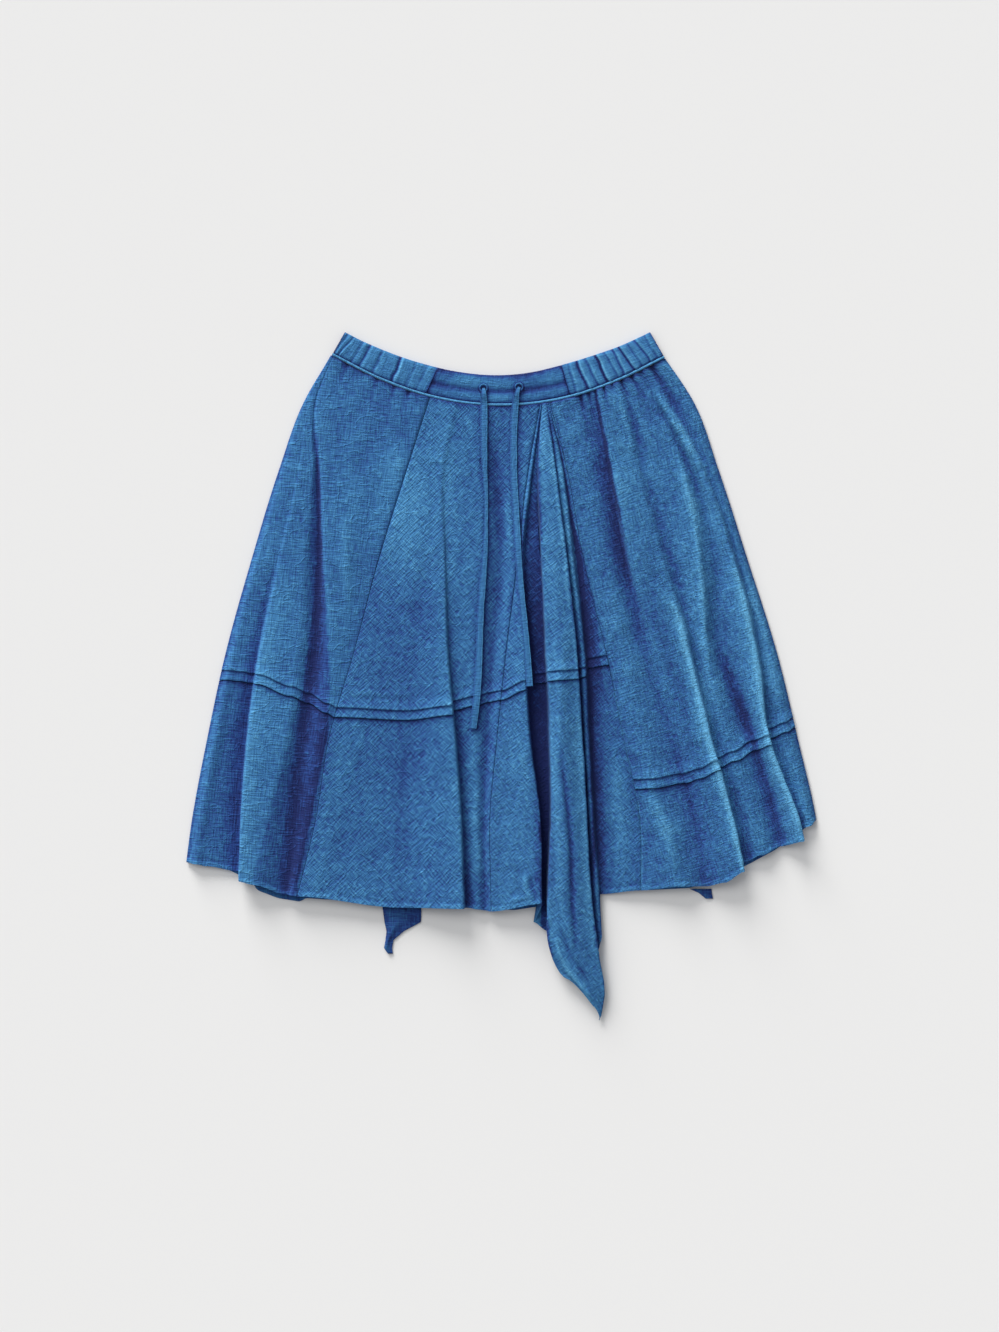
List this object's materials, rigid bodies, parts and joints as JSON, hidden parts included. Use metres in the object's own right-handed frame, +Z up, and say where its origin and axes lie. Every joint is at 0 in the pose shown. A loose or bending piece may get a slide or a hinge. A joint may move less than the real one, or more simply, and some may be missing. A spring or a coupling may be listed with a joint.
{
  "type": "drawstring skirt",
  "caption": "Skirt laid flat, with a part-elastic waistband, a flat drawstring through worked eyelets, a pleated front with parallel tucks, and pointed godet corners below an uneven hem.",
  "frame": {"origin": "middle of the laid-out skirt's bounding box without the drawstring, on the surface that it lies on", "axes": "+Z up from the surface towards the front of the skirt, +Y from the hem towards the waistband, +X towards the right of the skirt as seen from above"},
  "size_m": [0.6515, 0.7115, 0.0244],
  "materials": {
    "skirt_cloth": "plain-woven light cotton with a fine crinkle, dyed mid blue, matte",
    "trim_cloth": "the same blue cotton, folded and stitched into the band, piping, eyelets and drawstring, matte"
  },
  "bodies": {
    "root": {"front_side_upper": "skirt_cloth", "front_side_lower": "skirt_cloth", "front_centre_upper": "skirt_cloth", "front_centre_lower": "skirt_cloth", "godet_upper": "skirt_cloth", "godet_lower": "skirt_cloth", "front_right_upper": "skirt_cloth", "front_right_lower": "skirt_cloth", "back": "skirt_cloth", "back_corner_left": "skirt_cloth", "back_corner_right": "skirt_cloth", "band_front": "trim_cloth", "band_elastic_left": "trim_cloth", "band_elastic_right": "trim_cloth", "band_back": "trim_cloth", "waist_piping": "trim_cloth", "eyelet_left": "trim_cloth", "eyelet_right": "trim_cloth", "drawstring_left": "trim_cloth", "drawstring_right": "trim_cloth"}
  },
  "joints": []
}
